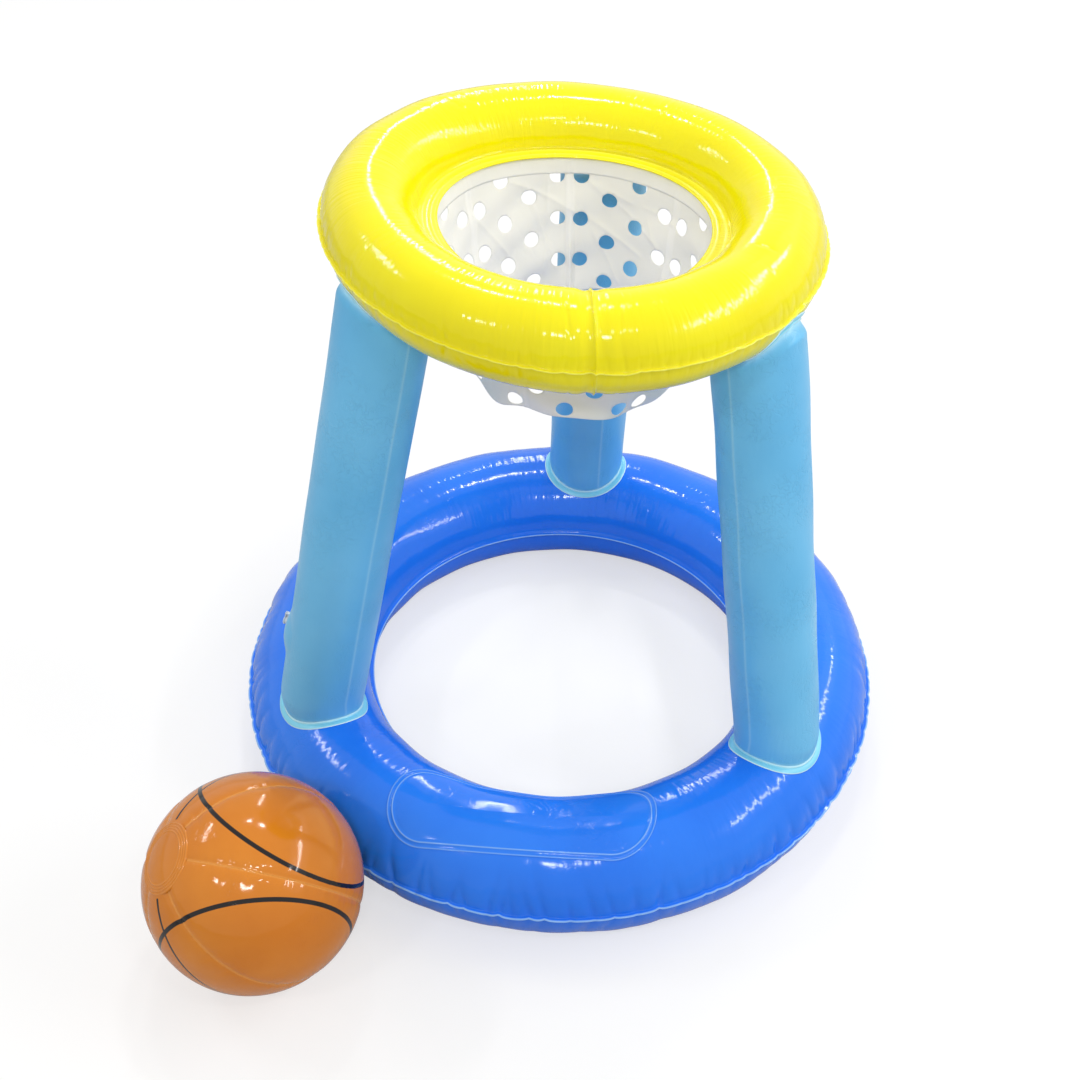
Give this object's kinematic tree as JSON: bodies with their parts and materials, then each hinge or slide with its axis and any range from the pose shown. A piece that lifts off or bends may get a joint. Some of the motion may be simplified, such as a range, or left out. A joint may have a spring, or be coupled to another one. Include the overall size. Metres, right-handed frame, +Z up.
{
  "type": "floating basketball hoop",
  "caption": "Inflatable pool basketball hoop: a floating ring base, legs leaning in to a rim ring with a short punched net, and a ball beside it.",
  "frame": {"origin": "on the floor, at the middle of the box round the hoop and its ball", "axes": "+Z up; -Y is the front, the way the badge patch faces; +X is to the right of someone who looks at the front"},
  "size_m": [0.9272, 1.0724, 0.878],
  "materials": {
    "blue_vinyl": "glossy blue film",
    "yellow_vinyl": "glossy yellow film",
    "leg_vinyl": "satin light blue film",
    "collar_vinyl": "satin pale blue welded film",
    "clear_vinyl": "clear glossy film over the blue",
    "white_vinyl": "satin white film",
    "orange_vinyl": "glossy orange film with black lines",
    "valve_plastic": "soft translucent moulded plastic"
  },
  "bodies": {
    "hoop": {"badge_patch": "clear_vinyl", "base_lower_skin": "blue_vinyl", "base_upper_skin": "blue_vinyl", "base_valve_body": "valve_plastic", "leg_back_foot_patch": "collar_vinyl", "leg_back_head_patch": "collar_vinyl", "leg_back_tube": "leg_vinyl", "leg_back_valve_body": "valve_plastic", "leg_left_foot_patch": "collar_vinyl", "leg_left_head_patch": "collar_vinyl", "leg_left_tube": "leg_vinyl", "leg_left_valve_body": "valve_plastic", "leg_right_foot_patch": "collar_vinyl", "leg_right_head_patch": "collar_vinyl", "leg_right_tube": "leg_vinyl", "leg_right_valve_body": "valve_plastic", "net_band": "white_vinyl", "net_panel_1": "white_vinyl", "net_panel_2": "white_vinyl", "net_panel_3": "white_vinyl", "net_panel_4": "white_vinyl", "net_panel_5": "white_vinyl", "net_panel_6": "white_vinyl", "net_panel_7": "white_vinyl", "rim_lower_skin": "yellow_vinyl", "rim_upper_skin": "yellow_vinyl", "rim_valve_body": "valve_plastic"},
    "ball": {"ball_back_disc": "orange_vinyl", "ball_front_disc": "orange_vinyl", "ball_gore_1": "orange_vinyl", "ball_gore_2": "orange_vinyl", "ball_gore_3": "orange_vinyl", "ball_gore_4": "orange_vinyl", "ball_gore_5": "orange_vinyl", "ball_gore_6": "orange_vinyl", "ball_valve_body": "valve_plastic"},
    "base_stopper": {"base_valve_stopper": "valve_plastic"},
    "rim_stopper": {"rim_valve_stopper": "valve_plastic"},
    "ball_stopper": {"ball_valve_stopper": "valve_plastic"},
    "leg_back_stopper": {"leg_back_valve_stopper": "valve_plastic"},
    "leg_left_stopper": {"leg_left_valve_stopper": "valve_plastic"},
    "leg_right_stopper": {"leg_right_valve_stopper": "valve_plastic"}
  },
  "joints": [
    {"name": "ball_lift", "type": "slide", "parent": "hoop", "child": "ball", "axis": [0, 0, 1], "range_m": [0, 0.9]},
    {"name": "base_stopper_hinge", "type": "hinge", "parent": "hoop", "child": "base_stopper", "pos_m": [-0.0387, 0.51864, 0.13281], "axis": [0.0438, -0.556, 0.83], "range_deg": [0, 150]},
    {"name": "rim_stopper_hinge", "type": "hinge", "parent": "hoop", "child": "rim_stopper", "pos_m": [-0.12596, 0.33944, 0.78733], "axis": [-0.2363, 0.5068, 0.829], "range_deg": [0, 150]},
    {"name": "leg_back_stopper_hinge", "type": "hinge", "parent": "hoop", "child": "leg_back_stopper", "pos_m": [0.01875, 0.48447, 0.29364], "axis": [0.9877, -0.1539, -0.028], "range_deg": [0, 150]},
    {"name": "leg_left_stopper_hinge", "type": "hinge", "parent": "hoop", "child": "leg_left_stopper", "pos_m": [-0.3481, -0.07155, 0.29037], "axis": [0.2489, 0.9602, -0.1266], "range_deg": [0, 150]},
    {"name": "leg_right_stopper_hinge", "type": "hinge", "parent": "hoop", "child": "leg_right_stopper", "pos_m": [0.32648, -0.02808, 0.28031], "axis": [0.9198, -0.3504, 0.1768], "range_deg": [0, 150]},
    {"name": "ball_stopper_hinge", "type": "hinge", "parent": "ball", "child": "ball_stopper", "pos_m": [-0.42954, -0.3034, 0.1125], "axis": [-0.6372, -0.5026, 0.5842], "range_deg": [0, 150]}
  ]
}
